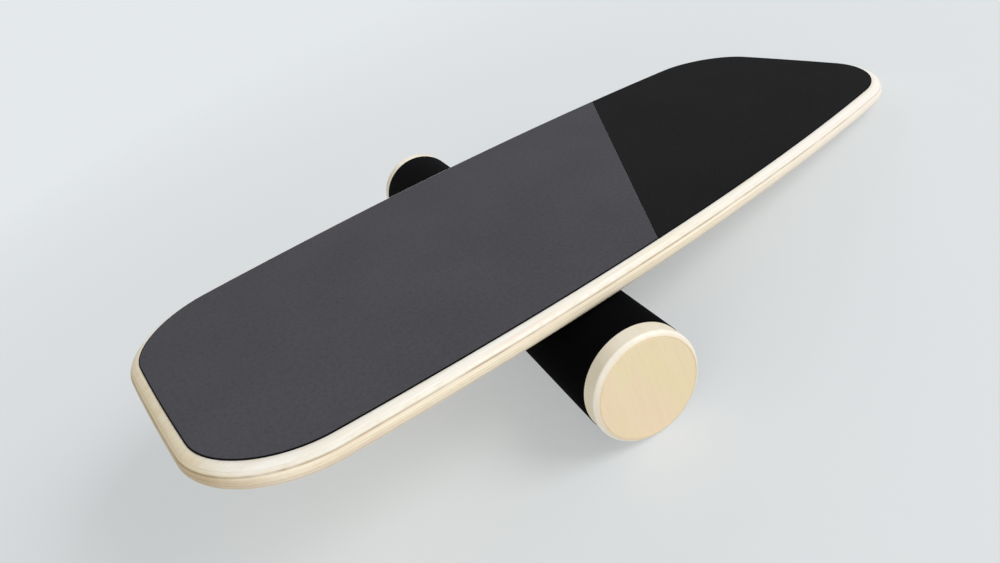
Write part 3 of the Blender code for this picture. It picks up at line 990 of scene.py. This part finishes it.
tubing = {
    "base": screenColour(146, 146, 144),
    "cloud": screenColour(156, 156, 153),
    "clouds": (30.0, 3.0),
    "cloudShare": (0.3, 0.7, 0.0, 1.0),
    "drawn": ((600, 4, 600), 3.0),  # lines along it, as from a die
    "roughness": (0.3, 0.7, 0.4, 0.55),
    "depths": (0.00003,),
}


def makeTubePlastic():
    finish, tree, shader = newFinish("tubePlastic")
    own = inPlaceOf(tree, Matrix.Translation(rollerAxis))
    drawn = pattern(tree, own, "drawn", tubing)
    clouds = noise(tree, own, *tubing["clouds"])
    shade = ranged(tree, clouds, *tubing["cloudShare"])
    colour = mixed(tree, shade, tubing["base"], tubing["cloud"])
    tree.links.new(colour, shader.inputs["Base Color"])
    tree.links.new(ranged(tree, drawn, *tubing["roughness"]), shader.inputs["Roughness"])
    bumped(tree, shader, (drawn,), tubing["depths"])
    return finish


# Floor, light and camera
studio = {
    "floorSize": 80.0,
    "seenTone": screenColour(229, 233, 235),  # of the floor and of what lies beyond it
    "bounceTone": screenColour(224, 223, 220),  # what the floor throws back on the object
    "glow": 0.45,  # share of the seen floor that no shadow reaches
    "evenFrom": 0.5,  # from here outwards the floor loses its shading
    "evenTo": 1.6,
    "worldLight": 0.31,
}
lamps = {
    "key": {"place": (2.58, -2.08, 2.5), "size": 2.08, "power": 112.0},
    "fill": {"place": (-1.75, -1.5, 0.6), "size": 1.4, "power": 16.0},
    "back": {"place": (0.3, 1.9, 1.3), "size": 1.4, "power": 11.0},
}
view = {
    "place": (-0.21168, -0.55070, 0.40541),
    "turn": (radians(64.5393), radians(22.4661), radians(-22.5976)),
    "lens": 25.927,
    "sensor": 36,
    "shift": (0.07, -0.1215),
    "nearest": 0.01,
}


def seenRays(tree):
    rays = node(tree, "ShaderNodeLightPath").outputs
    mirrored = calculated(tree, "MAXIMUM", rays["Is Glossy Ray"], rays["Is Transmission Ray"])
    return calculated(tree, "MAXIMUM", rays["Is Camera Ray"], mirrored)


def makeFloor():
    clearSelection()
    bpy.ops.mesh.primitive_plane_add(size=studio["floorSize"], location=(0, 0, 0))
    floor = named("studioFloor")
    finish, tree, shader = newFinish("studioFloor")
    tree.nodes.remove(shader)
    own = node(tree, "ShaderNodeTexCoord").outputs["Object"]
    away = node(tree, "ShaderNodeVectorMath", {0: own}, operation="LENGTH").outputs["Value"]
    even = ranged(tree, away, studio["evenFrom"], studio["evenTo"], studio["glow"], 1.0)
    lit = node(tree, "ShaderNodeBsdfDiffuse", {"Color": studio["seenTone"]}).outputs[0]
    glow = node(tree, "ShaderNodeEmission", {"Color": studio["seenTone"]}).outputs[0]
    seen = node(tree, "ShaderNodeMixShader", {0: even, 1: lit, 2: glow}).outputs[0]
    bounce = node(tree, "ShaderNodeBsdfDiffuse", {"Color": studio["bounceTone"]}).outputs[0]
    whole = node(tree, "ShaderNodeMixShader", {0: seenRays(tree), 1: bounce, 2: seen}).outputs[0]
    tree.links.new(whole, tree.nodes["Material Output"].inputs["Surface"])
    floor.data.materials.append(finish)


def makeLight():
    world = bpy.data.worlds.new("studio")
    bpy.context.scene.world = world
    world.use_nodes = True
    tree = world.node_tree
    light = tree.nodes["Background"]
    light.inputs["Color"].default_value = (1, 1, 1, 1)
    light.inputs["Strength"].default_value = studio["worldLight"]
    seen = node(tree, "ShaderNodeBackground", {"Color": studio["seenTone"], "Strength": 1.0})
    choice = {0: seenRays(tree), 1: light.outputs[0], 2: seen.outputs[0]}
    whole = node(tree, "ShaderNodeMixShader", choice).outputs[0]
    tree.links.new(whole, tree.nodes["World Output"].inputs["Surface"])
    for name, lamp in lamps.items():
        area = bpy.data.lights.new(name, "AREA")
        area.energy = lamp["power"]
        area.size = lamp["size"]
        holder = bpy.data.objects.new(name, area)
        bpy.context.scene.collection.objects.link(holder)
        holder.location = lamp["place"]
        holder.rotation_euler = (-Vector(lamp["place"])).to_track_quat("-Z", "Y").to_euler()
        holder.visible_camera = False


def makeCamera():
    camera = bpy.data.cameras.new("camera")
    camera.lens = view["lens"]
    camera.sensor_width = view["sensor"]
    camera.shift_x, camera.shift_y = view["shift"]
    camera.clip_start = view["nearest"]
    holder = bpy.data.objects.new("camera", camera)
    bpy.context.scene.collection.objects.link(holder)
    holder.location = view["place"]
    holder.rotation_euler = view["turn"]
    bpy.context.scene.camera = holder


bpy.context.scene.view_settings.view_transform = "Standard"
makeCamera()
makeLight()
makeFloor()
print("stage ready")

deckPly = makeDeckWood()
barWood = makeStopperWood()
gripGrey, gripBlack, gripEdgeShade = [makeGripFinish(name) for name in gripTones]
insertZinc, washerZinc, boltBlack = [makeMetal(name) for name in metals]
coverRubber = makeCoverRubber()
tubePlastic = makeTubePlastic()
turnedWood = makeCapWood()
print("finishes ready")

makeDeck(deckPly)
print("deck ready")
makeGrip("gripSheet_grey", "grip_main", "grip_grey", -1, gripGrey, gripEdgeShade)
makeGrip("gripSheet_black", "grip_nose", "grip_black", 1, gripBlack, gripEdgeShade)
print("grip ready")
makeInserts(insertZinc)
washerPattern = makeWasher("washerPattern")
boltPattern = makeBolt("boltPattern")
for end, sign in (("left", -1), ("right", 1)):
    makeStopper(end, sign, barWood)
    makeFasteners(end, sign, washerPattern, boltPattern, washerZinc, boltBlack)
bpy.data.objects.remove(washerPattern)
bpy.data.objects.remove(boltPattern)
print("underside ready")
makeCover(coverRubber)
makeCore(tubePlastic)
makeCaps(turnedWood)
print("roller ready")

clearSelection()
